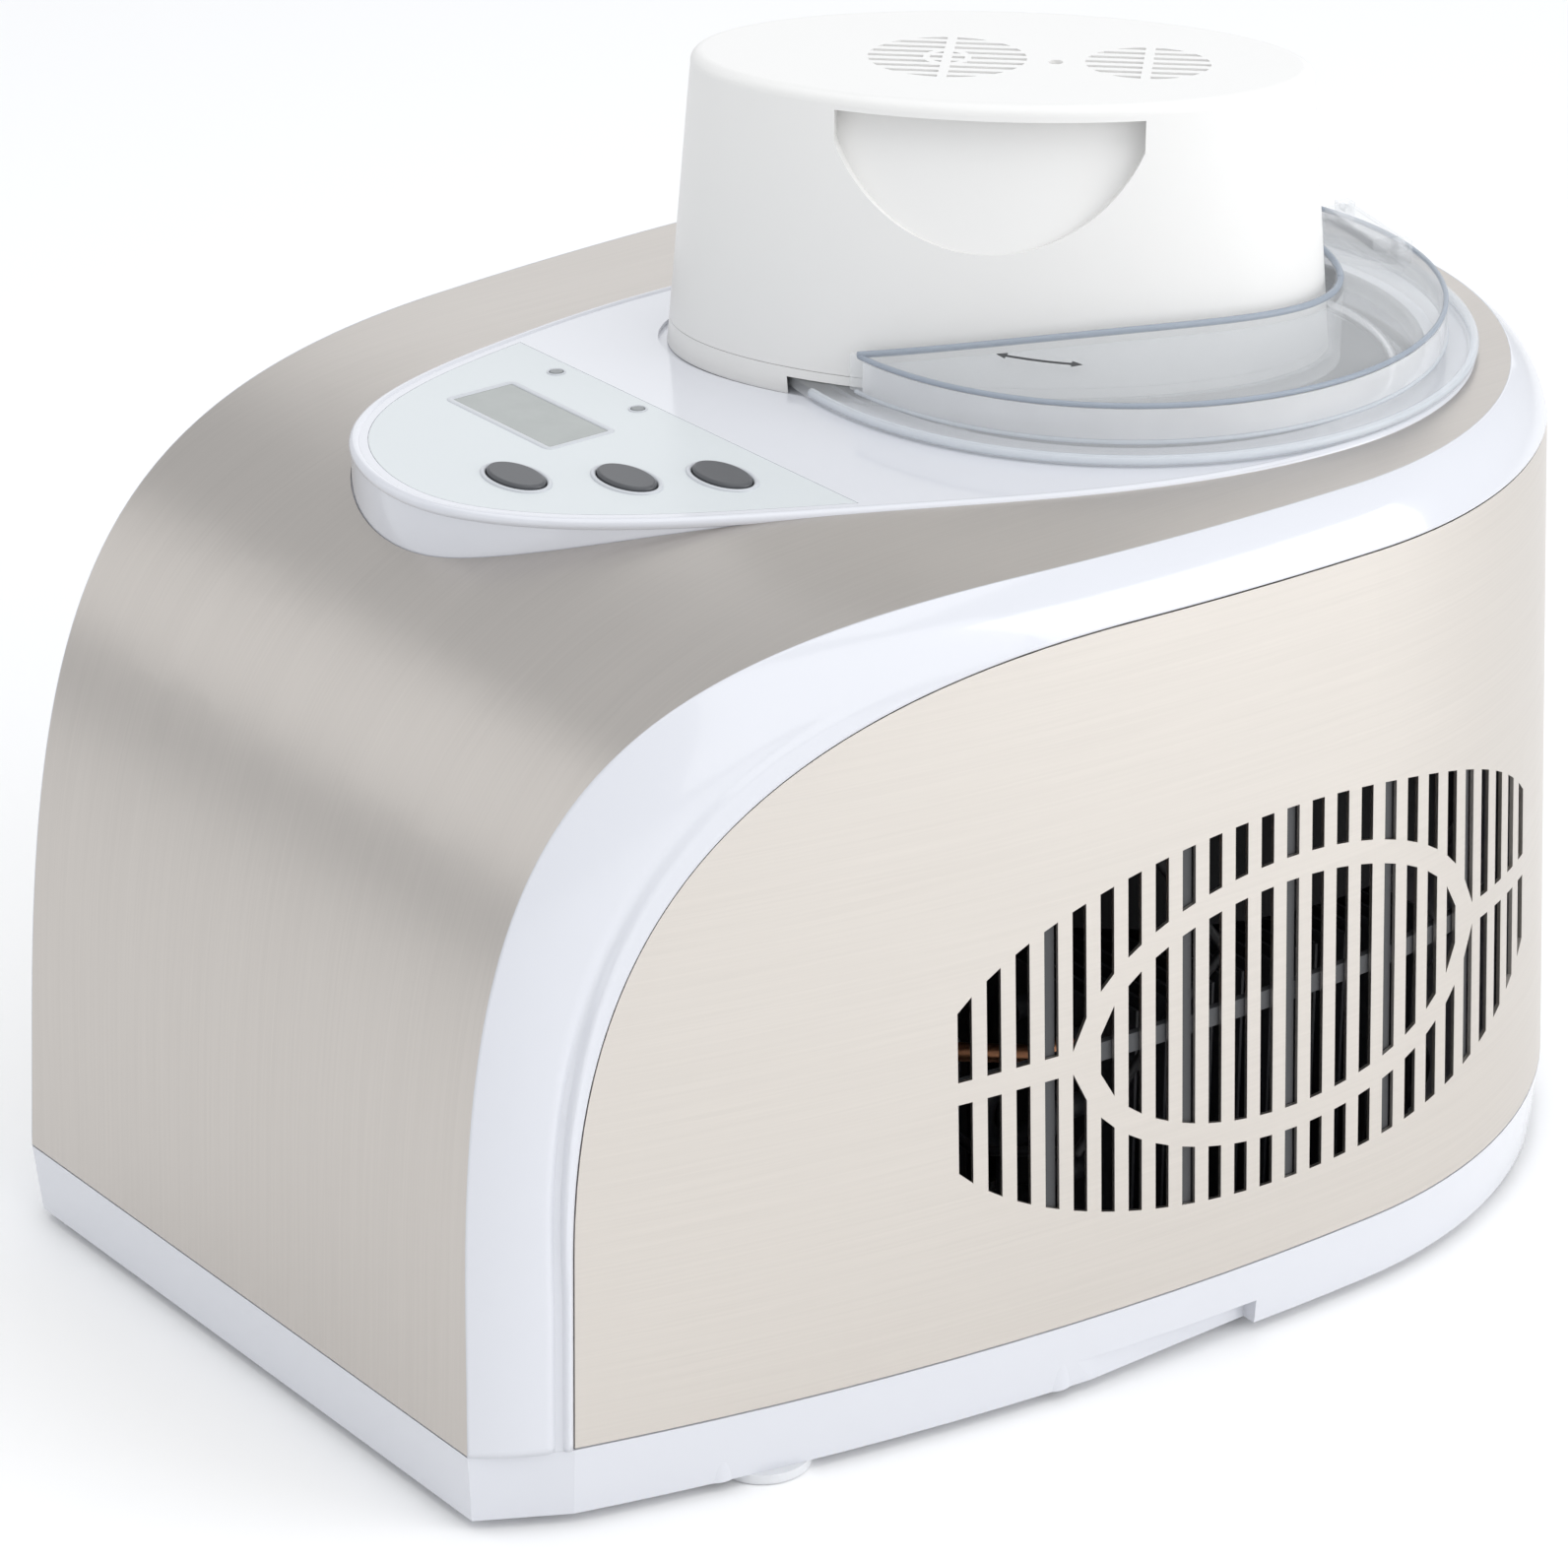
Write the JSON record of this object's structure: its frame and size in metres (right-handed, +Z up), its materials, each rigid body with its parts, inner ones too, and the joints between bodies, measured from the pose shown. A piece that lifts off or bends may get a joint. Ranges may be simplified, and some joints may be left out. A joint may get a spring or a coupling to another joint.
{
  "type": "ice_cream_maker",
  "caption": "Countertop compressor ice cream maker with arched steel casing, oval side vents, removable bowl, clear lid with refill flap and lift-off oval drive unit",
  "frame": {"origin": "on the floor, under the middle of the machine's bounding box", "axes": "+X to the machine's right as seen from the front, +Y from the front to the rear along the longest side, +Z up; the front with the control panel faces -Y"},
  "size_m": [0.285, 0.387, 0.29],
  "materials": {
    "steel_front": "brushed",
    "steel_side": "brushed",
    "white_gloss": "gloss",
    "white_satin": "satin",
    "film_grey": "satin",
    "button_grey": "satin",
    "display": "gloss",
    "clear": "clear",
    "black_plastic": "matte",
    "dark_plastic": "matte",
    "rubber": "matte",
    "aluminium": "satin",
    "steel_bright": "polished",
    "black_paint": "semi-gloss",
    "copper": "satin",
    "brass": "satin",
    "foam": "matte",
    "board_green": "satin",
    "zinc_steel": "satin",
    "red_wire": "satin",
    "nylon": "satin"
  },
  "bodies": {
    "machine": {"base_tray": "white_gloss", "rubber_feet": "rubber", "base_screws": "zinc_steel", "housing_frame": "white_gloss", "front_top_panel": "steel_front", "side_panel_right": "steel_side", "side_panel_left": "steel_side", "vent_grid_right": "dark_plastic", "vent_grid_left": "dark_plastic", "rear_cover": "white_satin", "power_inlet": "black_plastic", "inlet_pins": "brass", "inlet_leads": "black_plastic", "top_insert": "white_gloss", "control_film": "film_grey", "display_window": "display", "lcd_module": "dark_plastic", "control_board": "board_green", "led_lenses": "clear", "button_switches": "black_plastic", "drive_socket": "black_plastic", "socket_pins": "brass", "cooling_well": "aluminium", "evaporator_coil": "copper", "insulation": "foam", "compressor_shell": "black_paint", "compressor_bracket": "zinc_steel", "compressor_grommets": "rubber", "condenser_fins": "aluminium", "condenser_coil": "copper", "fan_shroud": "zinc_steel", "fan_motor": "zinc_steel", "filter_drier": "copper", "refrigerant_tubes": "copper", "suction_tube": "copper", "power_board": "board_green", "transformer": "zinc_steel", "wire_red": "red_wire", "wire_black": "black_plastic"},
    "bowl": {"removable_bowl": "aluminium"},
    "handle": {"bowl_handle": "steel_bright"},
    "paddle": {"mixing_paddle": "white_satin"},
    "lid": {"clear_lid": "clear"},
    "flap": {"refill_flap": "clear"},
    "fan": {"fan_blades": "black_plastic"},
    "timer_button": {"button_timer": "button_grey"},
    "start_stop_button": {"button_start_stop": "button_grey"},
    "power_button": {"button_power": "button_grey"},
    "output_shaft": {"output_gear": "nylon"},
    "idler": {"idler_gear": "nylon"},
    "pinion": {"drive_pinion": "nylon"},
    "drive_unit": {"motor_housing": "white_satin", "motor_base_cover": "white_satin", "shaft_bush": "brass", "gear_plate": "zinc_steel", "gear_plate_screws": "zinc_steel", "drive_motor": "zinc_steel"}
  },
  "joints": [
    {"name": "bowl_lift", "type": "slide", "parent": "machine", "child": "bowl", "axis": [0, 0, 1], "range_m": [0, 0.12]},
    {"name": "handle_swing", "type": "hinge", "parent": "bowl", "child": "handle", "pos_m": [0.014, 0.0725, 0.207], "axis": [1, 0, 0], "range_deg": [0, 90]},
    {"name": "paddle_spin", "type": "hinge", "parent": "bowl", "child": "paddle", "pos_m": [0.014, 0.0725, 0.15], "axis": [0, 0, 1], "continuous": true},
    {"name": "lid_lift", "type": "slide", "parent": "bowl", "child": "lid", "axis": [0, 0, 1], "range_m": [0, 0.12]},
    {"name": "flap_swing", "type": "hinge", "parent": "lid", "child": "flap", "pos_m": [0.03412, 0.14267, 0.2327], "axis": [0.9613, -0.2756, 0], "range_deg": [-100, 0]},
    {"name": "drive_lift", "type": "slide", "parent": "lid", "child": "drive_unit", "axis": [0, 0, 1], "range_m": [0, 0.1]},
    {"name": "output_spin", "type": "hinge", "parent": "drive_unit", "child": "output_shaft", "pos_m": [0.014, 0.0725, 0.22], "axis": [0, 0, 1], "continuous": true},
    {"name": "idler_spin", "type": "hinge", "parent": "drive_unit", "child": "idler", "pos_m": [0.00553, 0.03906, 0.23], "axis": [0, 0, 1], "continuous": true},
    {"name": "pinion_spin", "type": "hinge", "parent": "drive_unit", "child": "pinion", "pos_m": [-0.02663, 0.017, 0.235], "axis": [0, 0, 1], "continuous": true},
    {"name": "fan_spin", "type": "hinge", "parent": "machine", "child": "fan", "pos_m": [0.044, 0.0425, 0.048], "axis": [1, 0, 0], "continuous": true},
    {"name": "timer_press", "type": "slide", "parent": "machine", "child": "timer_button", "axis": [0, 0, -1], "range_m": [0, 0.001], "stiffness_N_per_m": 400},
    {"name": "start_stop_press", "type": "slide", "parent": "machine", "child": "start_stop_button", "axis": [0, 0, -1], "range_m": [0, 0.001], "stiffness_N_per_m": 400},
    {"name": "power_press", "type": "slide", "parent": "machine", "child": "power_button", "axis": [0, 0, -1], "range_m": [0, 0.001], "stiffness_N_per_m": 400}
  ],
  "couplings": [
    {"joint": "idler_spin", "follows": "output_spin", "ratio": -2.8333},
    {"joint": "pinion_spin", "follows": "output_spin", "ratio": 9.4444},
    {"joint": "paddle_spin", "follows": "output_spin", "ratio": 1},
    {"joint": "handle_swing", "follows": "lid_lift", "rad_per_m": 13.089}
  ]
}
